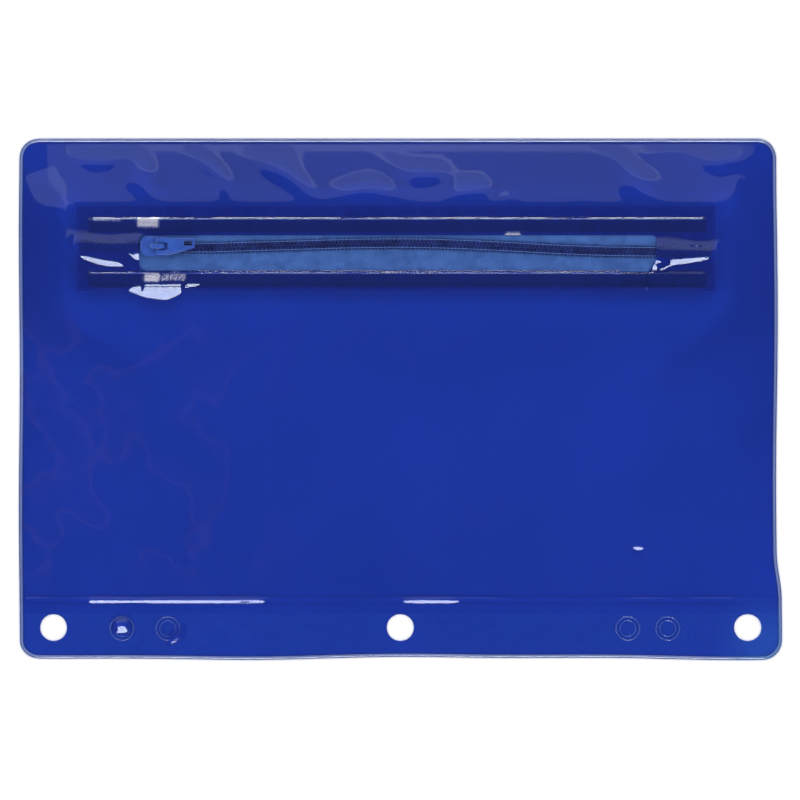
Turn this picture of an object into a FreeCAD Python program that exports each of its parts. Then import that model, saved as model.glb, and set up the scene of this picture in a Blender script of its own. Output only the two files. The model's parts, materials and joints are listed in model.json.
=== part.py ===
import FreeCAD, Part
import math
import os

# A vinyl zipper pouch with a three-hole binder margin, lying on its back.
# +X runs along the row of binder holes, +Y runs from the margin up to the zipper edge, and +Z
# points out of the front sheet. The origin is the centre of the back face. Lengths are in mm.

V = FreeCAD.Vector

# --- the two vinyl sheets ---
BAG_WIDTH = 237.0
BAG_HEIGHT = 162.0
CORNER_RADIUS = 6.0
VINYL = 0.4                # thickness of each sheet
EDGE_WELD = 1.6            # width of the weld along the left, right and top edges
SEAM_Y = -62.0             # pocket side of the weld that closes the pocket above the margin
POCKET_GAP = 6.0           # inner height of the empty pocket
SLOPE_RUN = 15.0           # distance over which the front sheet rises from its weld

# --- binder holes ---
HOLE_RADIUS = 4.2
HOLE_SPACING = 107.95      # 4 1/4 inch, the spacing of a three-ring binder
HOLE_Y = -71.1

# --- the slot in the front sheet, and the zipper behind it ---
SLOT_LEFT = -81.0
SLOT_RIGHT = 79.4
SLOT_BOTTOM = 39.5
SLOT_TOP = 50.8
SLOT_CORNERS = [3.0, 4.5, 1.5, 1.5]    # radii: left bottom, right bottom, right top, left top
TAPE_LEFT = -100.3
TAPE_RIGHT = 97.6
TAPE_BOTTOM = 33.5
TAPE_TOP = 59.8
TAPE_THICKNESS = 0.5
TAPE_SPLIT = 0.05          # half the slit between a tape's fixed hem and its free lip
CHAIN_Y = 47.3             # centreline of the closed chain at the slot's left end
CHAIN_TILT = -0.66         # degrees; the chain runs slightly downhill to the right
CHAIN_GAP = 0.05           # half the gap between the two closed halves
COIL_WIDTH = 2.0           # one half of the chain
COIL_HEIGHT = 1.3
PASSAGE_WIDTH = 0.8        # hollow inside the coil, which the filler cord runs through
PASSAGE_HEIGHT = 0.6
CORD_RADIUS = 0.25
THREAD_WIDTH = 0.3
THREAD_HEIGHT = 0.12
NOTCH_HALF = 1.0           # the two halves stand this far off the centreline ahead of the slider
RIDGE_HALF = 2.7           # half the foot of the ridge that the sheet makes over each chain end
RIDGE_SLOPE = 0.5          # how far each flank of the ridge leans in
RIDGE_CLEAR = 0.1
RIDGE_LAP = 0.2            # how far the ridge's hollow reaches below the sheet's underside

# --- slider, crown and pull tab ---
SLIDER_LENGTH = 8.4
SLIDER_WIDTH = 6.2
SLIDER_END_GAP = 0.5       # between the slider and the end of the slot
SLIDER_NOSE_RADIUS = 2.6
SLIDER_TAIL_RADIUS = 0.8
WING = 0.85                # thickness of the slider's upper and lower wings
WING_CLEAR = 0.15          # between a wing and the tape
CHANNEL_CLEAR = 0.25       # above and beside the coils
POST_SET_BACK = 0.5        # the wedge that parts the two halves, behind the slider's nose
POST_LENGTH = 2.6
POST_WIDTH = 1.5
POST_NOSE_WIDTH = 0.6
POST_SHOULDER = 0.9        # from the wedge's nose to its widest place
FIRST_TOOTH = 3.4          # from the slider's nose to the first tooth that meshes, behind the wedge
PIVOT_SHARE = 0.63         # how far along the slider the pull tab's bar lies
CROWN_HALF_LENGTH = 2.35
CROWN_WIDTH = 1.5
CROWN_STOCK = 0.8
CROWN_CLEAR = 0.35         # between the crown and the pull tab's bar
CROWN_ROUND = 1.2
TAB_THICKNESS = 0.9
TAB_CLEAR = 0.15
TAB_LENGTH = 11.7          # from the pivot to the free end
TAB_WIDE = 5.3
TAB_NARROW = 3.1
TAB_EYE_END = 3.2          # far end of the eye, from the pivot
TAB_EYE_WIDTH = 2.2
TAB_WINDOW_LENGTH = 2.6    # the small oblong window near the free end
TAB_WINDOW_WIDTH = 1.6
TAB_RIM = 0.8
TAB_SHOULDER = 0.6         # from the eye to where the lower edge starts to taper

# --- heights worked out from the stack ---
PLATEAU_BOTTOM = VINYL + POCKET_GAP            # underside of the raised front sheet
TAPE_BASE = PLATEAU_BOTTOM - TAPE_THICKNESS
COIL_TOP = PLATEAU_BOTTOM + COIL_HEIGHT
LOWER_WING_TOP = TAPE_BASE - WING_CLEAR
UPPER_WING_BASE = COIL_TOP + CHANNEL_CLEAR
UPPER_WING_TOP = UPPER_WING_BASE + WING
SLIDER_NOSE = SLOT_LEFT + SLIDER_END_GAP
PIVOT_X = SLIDER_NOSE + SLIDER_LENGTH * PIVOT_SHARE
PIVOT_Z = UPPER_WING_TOP + TAB_CLEAR + TAB_THICKNESS / 2
COIL_START = SLIDER_NOSE + FIRST_TOOTH


def block(x0, x1, y0, y1, z0, z1):
    return Part.makeBox(x1 - x0, y1 - y0, z1 - z0, V(x0, y0, z0))


def prism(points, z0, z1):
    """A closed outline of (x, y) points, pulled up from z0 to z1."""
    corners = [V(x, y, z0) for x, y in points]
    face = Part.Face(Part.makePolygon(corners + corners[:1]))
    return face.extrude(V(0, 0, z1 - z0))


def ridge_prism(points, x0, x1):
    """A closed outline of (y, z) points, pulled from x0 to x1."""
    corners = [V(x0, y, z) for y, z in points]
    face = Part.Face(Part.makePolygon(corners + corners[:1]))
    return face.extrude(V(x1 - x0, 0, 0))


def rounded_wire(x0, x1, y0, y1, radii, z):
    """A rectangle with its own radius at each corner: left bottom, right bottom, right top, left top."""
    corners = [V(x0, y0, z), V(x1, y0, z), V(x1, y1, z), V(x0, y1, z)]
    along = [V(1, 0, 0), V(0, 1, 0), V(-1, 0, 0), V(0, -1, 0)]
    edges = []
    for i in range(4):
        corner = corners[i]
        radius = radii[i]
        before = corner - along[i - 1] * radius
        after = corner + along[i] * radius
        inset = radius * (1 - math.cos(math.pi / 4))
        middle = corner + (along[i] - along[i - 1]) * inset
        edges.append(Part.Arc(before, middle, after).toShape())
        following = corners[(i + 1) % 4] - along[i] * radii[(i + 1) % 4]
        edges.append(Part.LineSegment(after, following).toShape())
    return Part.Wire(edges)


def rounded_slab(x0, x1, y0, y1, radii, z0, z1):
    face = Part.Face(rounded_wire(x0, x1, y0, y1, radii, z0))
    return face.extrude(V(0, 0, z1 - z0))


def tilted(shape):
    """The shape, turned with the chain about the chain's left end."""
    turned = shape.copy()
    turned.rotate(V(SLOT_LEFT, CHAIN_Y, 0), V(0, 0, 1), CHAIN_TILT)
    return turned


def chain_y(x):
    return CHAIN_Y + (x - SLOT_LEFT) * math.tan(math.radians(CHAIN_TILT))


def binder_holes():
    holes = [Part.makeCylinder(HOLE_RADIUS, 4, V(i * HOLE_SPACING, HOLE_Y, -1)) for i in (-1, 0, 1)]
    return Part.makeCompound(holes)


def outline(z0, z1):
    half_x = BAG_WIDTH / 2
    half_y = BAG_HEIGHT / 2
    return rounded_slab(-half_x, half_x, -half_y, half_y, [CORNER_RADIUS] * 4, z0, z1)


def back_sheet():
    return outline(0, VINYL).cut(binder_holes())


def pillow(base):
    """The raised part of the pocket: sloping sides from the welds up to a flat plateau."""
    half_x = BAG_WIDTH / 2 - EDGE_WELD
    top_y = BAG_HEIGHT / 2 - EDGE_WELD
    radii = [CORNER_RADIUS] * 4
    foot = rounded_wire(-half_x, half_x, SEAM_Y, top_y, radii, base)
    run = SLOPE_RUN
    crest = rounded_wire(-half_x + run, half_x - run, SEAM_Y + run, top_y - run, radii, base + POCKET_GAP)
    return Part.makeLoft([foot, crest], True, True)


def chain_ridge(x0, x1, grow):
    """The tunnel that the sheet makes over a chain end; grow is the sheet's thickness, or 0 inside."""
    half = RIDGE_HALF + grow
    crest = COIL_TOP + RIDGE_CLEAR + grow
    foot = PLATEAU_BOTTOM - (0 if grow else RIDGE_LAP)
    shoulder = half - RIDGE_SLOPE
    points = [(CHAIN_Y - half, foot), (CHAIN_Y + half, foot)]
    points += [(CHAIN_Y + shoulder, crest), (CHAIN_Y - shoulder, crest)]
    return tilted(ridge_prism(points, x0, x1))


def front_sheet():
    sheet = outline(VINYL, 2 * VINYL).fuse(pillow(2 * VINYL))
    sheet = sheet.fuse(chain_ridge(TAPE_LEFT - 2 * VINYL, SLOT_LEFT + 1, VINYL))
    sheet = sheet.fuse(chain_ridge(SLOT_RIGHT - 1, TAPE_RIGHT + 2 * VINYL, VINYL))
    sheet = sheet.cut(pillow(VINYL))
    sheet = sheet.cut(chain_ridge(TAPE_LEFT - VINYL, SLOT_LEFT + 2, 0))
    sheet = sheet.cut(chain_ridge(SLOT_RIGHT - 2, TAPE_RIGHT + VINYL, 0))
    span = (SLOT_LEFT, SLOT_RIGHT, SLOT_BOTTOM, SLOT_TOP, SLOT_CORNERS)
    slot = rounded_slab(*span, TAPE_BASE, UPPER_WING_TOP)
    return sheet.cut(slot).cut(binder_holes()).removeSplitter()


def side_of(half):
    """+1 for the upper half of the zipper, -1 for the lower half."""
    return 1 if half == "upper" else -1


def strip(half, x0, x1, near, far, z0, z1):
    """A straight bar beside the chain; near and far are distances from the centreline."""
    ends = sorted((CHAIN_Y + side_of(half) * near, CHAIN_Y + side_of(half) * far))
    return tilted(block(x0, x1, ends[0], ends[1], z0, z1))


def lane(half, x0, x1, outer_y, z0, z1):
    """A flat strip of tape between the centreline and a line parallel to the slot."""
    gap = side_of(half) * CHAIN_GAP
    points = [(x0, chain_y(x0) + gap), (x1, chain_y(x1) + gap), (x1, outer_y), (x0, outer_y)]
    return prism(points, z0, z1)


def fold_y(half):
    """The line where a free lip leaves its welded hem."""
    return SLOT_TOP if half == "upper" else SLOT_BOTTOM


def tape_hem(half):
    outer = TAPE_TOP if half == "upper" else TAPE_BOTTOM
    tape = lane(half, TAPE_LEFT, TAPE_RIGHT, outer, TAPE_BASE, PLATEAU_BOTTOM)
    line = fold_y(half) + side_of(half) * TAPE_SPLIT
    mouth = sorted((line, line - side_of(half) * (SLOT_TOP - SLOT_BOTTOM)))
    return tape.cut(block(SLOT_LEFT, SLOT_RIGHT, mouth[0], mouth[1], 0, COIL_TOP))


def tape_lip(half):
    gap = 2 * TAPE_SPLIT
    line = fold_y(half) - side_of(half) * TAPE_SPLIT
    lip = lane(half, SLOT_LEFT + gap, SLOT_RIGHT - gap, line, TAPE_BASE, PLATEAU_BOTTOM)
    return lip.cut(strip(half, SLOT_LEFT - 1, COIL_START - gap, -1, NOTCH_HALF, 0, COIL_TOP))


def coil(half):
    end = SLOT_RIGHT - 2 * TAPE_SPLIT
    bar = strip(half, COIL_START, end, CHAIN_GAP, CHAIN_GAP + COIL_WIDTH, PLATEAU_BOTTOM, COIL_TOP)
    side = CHAIN_GAP + (COIL_WIDTH - PASSAGE_WIDTH) / 2
    floor = PLATEAU_BOTTOM + (COIL_HEIGHT - PASSAGE_HEIGHT) / 2
    passage = strip(half, COIL_START - 1, end + 1, side, side + PASSAGE_WIDTH, floor, floor + PASSAGE_HEIGHT)
    return bar.cut(passage)


def filler_cord(half):
    y = CHAIN_Y + side_of(half) * (CHAIN_GAP + COIL_WIDTH / 2)
    z = PLATEAU_BOTTOM + COIL_HEIGHT / 2
    length = SLOT_RIGHT - 2 * TAPE_SPLIT - COIL_START
    return tilted(Part.makeCylinder(CORD_RADIUS, length, V(COIL_START, y, z), V(1, 0, 0)))


def stitching(half):
    near = CHAIN_GAP + (COIL_WIDTH - THREAD_WIDTH) / 2
    end = SLOT_RIGHT - 2 * TAPE_SPLIT
    return strip(half, COIL_START, end, near, near + THREAD_WIDTH, COIL_TOP, COIL_TOP + THREAD_HEIGHT)


def chain_end(x0, x1):
    """The stretch of chain that stays shut under the sheet, past one end of the slot."""
    half = CHAIN_GAP + COIL_WIDTH
    return tilted(block(x0, x1, CHAIN_Y - half, CHAIN_Y + half, PLATEAU_BOTTOM, COIL_TOP))


def slider_body():
    x0 = SLIDER_NOSE
    x1 = x0 + SLIDER_LENGTH
    half = SLIDER_WIDTH / 2
    radii = [SLIDER_NOSE_RADIUS, SLIDER_TAIL_RADIUS, SLIDER_TAIL_RADIUS, SLIDER_NOSE_RADIUS]
    span = (x0, x1, CHAIN_Y - half, CHAIN_Y + half, radii)
    lower = rounded_slab(*span, LOWER_WING_TOP - WING, LOWER_WING_TOP)
    upper = rounded_slab(*span, PLATEAU_BOTTOM + WING_CLEAR, UPPER_WING_TOP)
    channel = CHAIN_GAP + COIL_WIDTH + CHANNEL_CLEAR
    upper = upper.cut(block(x0 - 1, x1 + 1, CHAIN_Y - channel, CHAIN_Y + channel, 0, UPPER_WING_BASE))
    nose = x0 + POST_SET_BACK
    shoulder = nose + POST_SHOULDER
    blunt = POST_NOSE_WIDTH / 2
    wide = POST_WIDTH / 2
    wedge = [(nose, CHAIN_Y - blunt), (shoulder, CHAIN_Y - wide), (nose + POST_LENGTH, CHAIN_Y)]
    wedge += [(shoulder, CHAIN_Y + wide), (nose, CHAIN_Y + blunt)]
    post = prism(wedge, LOWER_WING_TOP, UPPER_WING_BASE)
    return tilted(lower.fuse(post).fuse(upper).removeSplitter())


def crown():
    """The arch on the slider's upper wing that holds the pull tab's bar."""
    reach = CROWN_HALF_LENGTH
    top = PIVOT_Z + TAB_THICKNESS / 2 + CROWN_CLEAR + CROWN_STOCK
    y0 = CHAIN_Y - CROWN_WIDTH / 2
    y1 = CHAIN_Y + CROWN_WIDTH / 2
    arch = block(PIVOT_X - reach, PIVOT_X + reach, y0, y1, UPPER_WING_TOP, top)
    corners = [e for e in arch.Edges if abs(e.BoundBox.ZMin - top) < 0.01 and e.BoundBox.YLength > 1]
    arch = arch.makeFillet(CROWN_ROUND, corners)
    inner = reach - CROWN_STOCK
    hollow = block(PIVOT_X - inner, PIVOT_X + inner, y0 - 1, y1 + 1, UPPER_WING_TOP - 1, top - CROWN_STOCK)
    return tilted(arch.cut(hollow))


def pull_tab():
    """A tapered tab whose upper edge is straight; it lies flat along the chain, past the slider's tail."""
    z0 = PIVOT_Z - TAB_THICKNESS / 2
    z1 = z0 + TAB_THICKNESS
    bar = TAB_THICKNESS / 2
    x_end = PIVOT_X + TAB_LENGTH
    top_y = CHAIN_Y + TAB_WIDE / 2
    low_y = CHAIN_Y - TAB_WIDE / 2
    x_taper = PIVOT_X + TAB_EYE_END + TAB_SHOULDER
    points = [(PIVOT_X, low_y), (x_taper, low_y), (x_end, top_y - TAB_NARROW), (x_end, top_y)]
    points += [(PIVOT_X, top_y)]
    tab = prism(points, z0, z1)
    round_bar = Part.makeCylinder(bar, TAB_WIDE, V(PIVOT_X, low_y, PIVOT_Z), V(0, 1, 0))
    tab = tab.fuse(round_bar)
    eye_half = TAB_EYE_WIDTH / 2
    eye = block(PIVOT_X + bar, PIVOT_X + TAB_EYE_END, CHAIN_Y - eye_half, CHAIN_Y + eye_half, z0 - 1, z1 + 1)
    window_y = top_y - TAB_NARROW / 2
    window_x = x_end - TAB_RIM - TAB_WINDOW_LENGTH
    half = TAB_WINDOW_WIDTH / 2
    window = block(window_x, x_end - TAB_RIM, window_y - half, window_y + half, z0 - 1, z1 + 1)
    return tilted(tab.cut(eye).cut(window).removeSplitter())


parts = {
    "back_sheet": back_sheet(),
    "front_sheet": front_sheet(),
    "left_chain_end": chain_end(TAPE_LEFT, SLOT_LEFT),
    "right_chain_end": chain_end(SLOT_RIGHT, TAPE_RIGHT),
    "slider_body": slider_body(),
    "slider_crown": crown(),
    "pull_tab": pull_tab(),
}
for half in ("upper", "lower"):
    parts[half + "_tape_hem"] = tape_hem(half)
    parts[half + "_tape_lip"] = tape_lip(half)
    parts[half + "_coil"] = coil(half)
    parts[half + "_filler_cord"] = filler_cord(half)
    parts[half + "_stitching"] = stitching(half)

os.makedirs("parts", exist_ok=True)
for name, shape in parts.items():
    shape.exportStep("parts/" + name + ".step")
    print(name, "solids", len(shape.Solids), "valid", shape.isValid(), "volume", round(shape.Volume, 2))
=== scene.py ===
import json
import math

import bpy
import numpy as np
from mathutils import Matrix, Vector


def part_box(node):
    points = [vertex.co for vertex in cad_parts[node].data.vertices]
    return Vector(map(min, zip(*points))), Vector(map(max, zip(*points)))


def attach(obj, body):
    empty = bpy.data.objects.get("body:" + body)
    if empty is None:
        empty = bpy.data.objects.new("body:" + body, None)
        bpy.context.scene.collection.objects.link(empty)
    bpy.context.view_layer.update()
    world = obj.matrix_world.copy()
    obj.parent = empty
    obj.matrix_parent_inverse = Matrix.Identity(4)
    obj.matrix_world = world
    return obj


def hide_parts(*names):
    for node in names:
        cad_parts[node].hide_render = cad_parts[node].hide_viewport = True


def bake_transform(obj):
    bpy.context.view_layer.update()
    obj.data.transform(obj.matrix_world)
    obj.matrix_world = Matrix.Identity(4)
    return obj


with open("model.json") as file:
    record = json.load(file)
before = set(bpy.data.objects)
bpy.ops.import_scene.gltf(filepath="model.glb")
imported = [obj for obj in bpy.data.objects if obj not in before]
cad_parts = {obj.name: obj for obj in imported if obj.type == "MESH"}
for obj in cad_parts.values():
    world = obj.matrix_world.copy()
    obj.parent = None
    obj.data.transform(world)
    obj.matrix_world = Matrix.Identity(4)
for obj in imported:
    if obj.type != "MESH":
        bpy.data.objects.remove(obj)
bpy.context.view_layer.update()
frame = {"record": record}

MM = 0.001

# ---------------------------------------------------------------- places read from the frame
BACK_LOW, BACK_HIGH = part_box("back_sheet")
UPPER_HEM_LOW, UPPER_HEM_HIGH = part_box("upper_tape_hem")
LOWER_HEM_LOW, LOWER_HEM_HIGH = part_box("lower_tape_hem")
UPPER_LIP_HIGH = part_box("upper_tape_lip")[1]
LOWER_LIP_LOW, LOWER_LIP_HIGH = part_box("lower_tape_lip")
COIL_LOW, COIL_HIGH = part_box("lower_coil")
LEFT_END_LOW, LEFT_END_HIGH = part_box("left_chain_end")
RIGHT_END_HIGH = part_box("right_chain_end")[1]
SLIDER_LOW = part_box("slider_body")[0]
JOINTS = {joint["name"]: joint for joint in frame["record"]["behaviour"]["joints"]}
HOLES = [Vector(m["pos_m"]) for m in frame["record"]["mounts"] if m["kind"] == "bore"]
HOLE_RADIUS = 4.2 * MM

# ---------------------------------------------------------------- sizes of the soft parts
VINYL = 0.4 * MM
HALF_WIDTH = BACK_HIGH.x
HALF_HEIGHT = BACK_HIGH.y
CORNER = 6.0 * MM
EDGE_WELD = 1.6 * MM
SEAM_Y = -62.0 * MM
TAPE_TOP_Z = LOWER_HEM_HIGH.z           # the tapes' upper face, and the raised sheet's underside
TAPE_THICK = LOWER_HEM_HIGH.z - LOWER_HEM_LOW.z
SLOT_LEFT = LOWER_LIP_LOW.x
SLOT_RIGHT = LOWER_LIP_HIGH.x
SLOT_BOTTOM = LOWER_LIP_LOW.y
SLOT_TOP = UPPER_LIP_HIGH.y
LIFT = TAPE_TOP_Z - BACK_HIGH.z         # inner height of the pocket
PITCH = 1.15 * MM                       # from one turn of the coil to the next

TILT = math.atan2(JOINTS["slider_slide"]["axis"][1], JOINTS["slider_slide"]["axis"][0])
CHAIN_X0 = LEFT_END_HIGH.x
CHAIN_Y0 = (LEFT_END_LOW.y + LEFT_END_HIGH.y) / 2
CHAIN_MIDDLE = (SLOT_LEFT + SLOT_RIGHT) / 2
BOW = 1.80 * MM                         # how far the shut chain bows towards the top edge
BOW_MIDDLE = 4.0 * MM
BOW_REACH = 66.0 * MM
DIP = 0.35 * MM                         # and the little it dips beside the slider
DIP_MIDDLE = -62.0 * MM
DIP_REACH = 17.0 * MM


def straight_chain_y(x):
    return CHAIN_Y0 + (x - CHAIN_X0) * math.tan(TILT)


def chain_y(x):
    """The centreline of the shut chain: the slider's straight line, bowed a little in the middle."""
    away = np.clip((x - BOW_MIDDLE) / BOW_REACH, -1, 1)
    dip = np.clip((x - DIP_MIDDLE) / DIP_REACH, -1, 1)
    bowed = BOW * np.cos(away * math.pi / 2) ** 2 - DIP * np.cos(dip * math.pi / 2) ** 2
    return straight_chain_y(x) + bowed


def smooth(value):
    t = np.clip(value, 0, 1)
    return t * t * (3 - 2 * t)


def bump(distance, reach):
    """1 at no distance, falling smoothly to 0 at reach."""
    return smooth(1 - np.abs(distance) / reach)


# ---------------------------------------------------------------- helpers: meshes
def deselect():
    if bpy.context.mode != "OBJECT":
        bpy.ops.object.mode_set(mode="OBJECT")
    bpy.ops.object.select_all(action="DESELECT")


def activate(piece):
    deselect()
    piece.select_set(True)
    bpy.context.view_layer.objects.active = piece


def settle(piece, name):
    """The piece's place goes into its mesh, and its object to the origin."""
    activate(piece)
    bpy.ops.object.transform_apply(location=True, rotation=True, scale=True)
    piece.name = name
    piece.data.name = name
    return piece


def points_of(piece):
    co = np.empty(len(piece.data.vertices) * 3)
    piece.data.vertices.foreach_get("co", co)
    return co.reshape(-1, 3)


def set_points(piece, co):
    piece.data.vertices.foreach_set("co", co.astype(np.float32).ravel())
    piece.data.update()


def modify(piece, kind, **settings):
    activate(piece)
    modifier = piece.modifiers.new(kind.lower(), kind)
    for key, value in settings.items():
        setattr(modifier, key, value)
    bpy.ops.object.modifier_apply(modifier=modifier.name)


def smooth_shade(piece, angle=35):
    activate(piece)
    bpy.ops.object.shade_smooth_by_angle(angle=math.radians(angle))


def outward(piece):
    activate(piece)
    bpy.ops.object.mode_set(mode="EDIT")
    bpy.ops.mesh.select_all(action="SELECT")
    bpy.ops.mesh.remove_doubles(threshold=1e-7)
    bpy.ops.mesh.normals_make_consistent(inside=False)
    bpy.ops.object.mode_set(mode="OBJECT")


def graded(start, stop, fine_spans, coarse):
    """Places of a grid's lines from start to stop. Each fine span is (low, high, spacing inside it)."""
    places = [start]
    while places[-1] < stop - coarse / 4:
        here = places[-1]
        step = coarse
        for low, high, spacing in fine_spans:
            if low <= here < high:
                step = spacing
            elif here < low < here + step:
                step = low - here
        places.append(min(here + step, stop))
    places[-1] = stop
    return np.array(places)


def grid_piece(xs, ys):
    """A flat grid whose lines stand at the given places."""
    deselect()
    bpy.ops.mesh.primitive_grid_add(x_subdivisions=len(xs) - 1, y_subdivisions=len(ys) - 1, size=1)
    piece = bpy.context.object
    co = points_of(piece)
    columns = np.rint((co[:, 0] + 0.5) * (len(xs) - 1)).astype(int)
    rows = np.rint((co[:, 1] + 0.5) * (len(ys) - 1)).astype(int)
    co[:, 0] = xs[columns]
    co[:, 1] = ys[rows]
    set_points(piece, co)
    return piece


def rounded_box(x, y, low, high, radius):
    """Signed distance to a rounded rectangle: below 0 inside it."""
    qx = np.abs(x - (low[0] + high[0]) / 2) - (high[0] - low[0]) / 2 + radius
    qy = np.abs(y - (low[1] + high[1]) / 2) - (high[1] - low[1]) / 2 + radius
    outside = np.hypot(np.maximum(qx, 0), np.maximum(qy, 0))
    return outside + np.minimum(np.maximum(qx, qy), 0) - radius


def cut_to(piece, inside):
    """Deletes the faces outside the shape, and draws the new edge on to the shape's outline.
    inside(x, y) is a signed distance, below 0 where the sheet is."""
    mesh = piece.data
    centres = np.empty(len(mesh.polygons) * 3)
    mesh.polygons.foreach_get("center", centres)
    centres = centres.reshape(-1, 3)
    gone = inside(centres[:, 0], centres[:, 1]) > 0
    activate(piece)
    mesh.polygons.foreach_set("select", gone)
    bpy.ops.object.mode_set(mode="EDIT")
    bpy.ops.mesh.select_mode(type="FACE")
    bpy.ops.object.mode_set(mode="OBJECT")
    mesh.polygons.foreach_set("select", gone)
    bpy.ops.object.mode_set(mode="EDIT")
    bpy.ops.mesh.delete(type="FACE")
    bpy.ops.object.mode_set(mode="OBJECT")
    faces_of_edge = np.zeros(len(mesh.edges), int)
    for polygon in mesh.polygons:
        for key in polygon.loop_indices:
            faces_of_edge[mesh.loops[key].edge_index] += 1
    rim = np.zeros(len(mesh.vertices), bool)
    for edge in mesh.edges:
        if faces_of_edge[edge.index] == 1:
            rim[edge.vertices[0]] = rim[edge.vertices[1]] = True
    co = points_of(piece)
    step = 1e-5
    for _ in range(4):
        x, y = co[rim, 0], co[rim, 1]
        far = inside(x, y)
        slope_x = (inside(x + step, y) - inside(x - step, y)) / (2 * step)
        slope_y = (inside(x, y + step) - inside(x, y - step)) / (2 * step)
        size = np.maximum(np.hypot(slope_x, slope_y), 0.3)
        co[rim, 0] -= far * slope_x / size ** 2
        co[rim, 1] -= far * slope_y / size ** 2
    set_points(piece, co)
    return piece


def curve_piece(name, points, radius, cyclic=False, sides=1):
    """A round wire along the points, as a closed mesh."""
    data = bpy.data.curves.new(name, "CURVE")
    data.dimensions = "3D"
    data.bevel_depth = radius
    data.bevel_resolution = sides
    data.use_fill_caps = True
    spline = data.splines.new("POLY")
    spline.points.add(len(points) - 1)
    flat = np.ones((len(points), 4))
    flat[:, :3] = points
    spline.points.foreach_set("co", flat.ravel())
    spline.use_cyclic_u = cyclic
    piece = bpy.data.objects.new(name, data)
    bpy.context.scene.collection.objects.link(piece)
    activate(piece)
    bpy.ops.object.convert(target="MESH")
    piece = bpy.context.object
    bpy.ops.object.shade_smooth()
    return settle(piece, name)


# ---------------------------------------------------------------- helpers: materials
def new_material(name):
    material = bpy.data.materials.new(name)
    material.use_nodes = True
    tree = material.node_tree
    shader = tree.nodes["Principled BSDF"]
    return material, tree, shader


def node(tree, kind, inputs=None, **settings):
    made = tree.nodes.new(kind)
    for key, value in settings.items():
        setattr(made, key, value)
    for key, value in (inputs or {}).items():
        if isinstance(value, bpy.types.NodeSocket):
            tree.links.new(value, made.inputs[key])
        else:
            made.inputs[key].default_value = value
    return made


def math_node(tree, operation, *values):
    inputs = dict(enumerate(values))
    return node(tree, "ShaderNodeMath", inputs, operation=operation).outputs[0]


def place(tree, scale=(1, 1, 1), turn=(0, 0, 0), shift=(0, 0, 0)):
    coordinates = node(tree, "ShaderNodeTexCoord")
    inputs = {"Vector": coordinates.outputs["Object"], "Scale": scale, "Rotation": turn, "Location": shift}
    return node(tree, "ShaderNodeMapping", inputs).outputs["Vector"]


def noise(tree, vector, scale, detail=3.0, roughness=0.5):
    inputs = {"Vector": vector, "Scale": scale, "Detail": detail, "Roughness": roughness}
    return node(tree, "ShaderNodeTexNoise", inputs).outputs["Fac"]


def ramp(tree, factor, stops):
    made = node(tree, "ShaderNodeValToRGB", {"Fac": factor})
    elements = made.color_ramp.elements
    while len(elements) < len(stops):
        elements.new(0.5)
    for element, (position, colour) in zip(elements, stops):
        element.position = position
        element.color = (*colour, 1) if len(colour) == 3 else colour
    return made.outputs["Color"]


def grey(value):
    return (value, value, value)


def mix(tree, factor, first, second):
    """One colour turning into another as the factor goes from 0 to 1. Each is a socket or three numbers."""
    made = node(tree, "ShaderNodeMix", {"Factor": factor}, data_type="RGBA")
    for key, colour in ((6, first), (7, second)):
        if isinstance(colour, tuple):
            made.inputs[key].default_value = (*colour, 1)
        else:
            tree.links.new(colour, made.inputs[key])
    return made.outputs[2]


def bumps(tree, shader, height, distance, strength=1.0):
    inputs = {"Height": height, "Distance": distance, "Strength": strength}
    made = node(tree, "ShaderNodeBump", inputs)
    tree.links.new(made.outputs["Normal"], shader.inputs["Normal"])
    return made


# Painted reflection colour: purple lines that stand in for faint reflections in the film.
PAINTED_REFLECTION_PURPLE = (0.20, 0.13, 0.42)
CORNER_PALE = (0.10, 0.30, 0.66)
# Painted highlight colour: whitish patches and specks that stand in for glints off the film.
PAINTED_GLINT_WHITE = (0.44, 0.43, 0.52)


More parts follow.
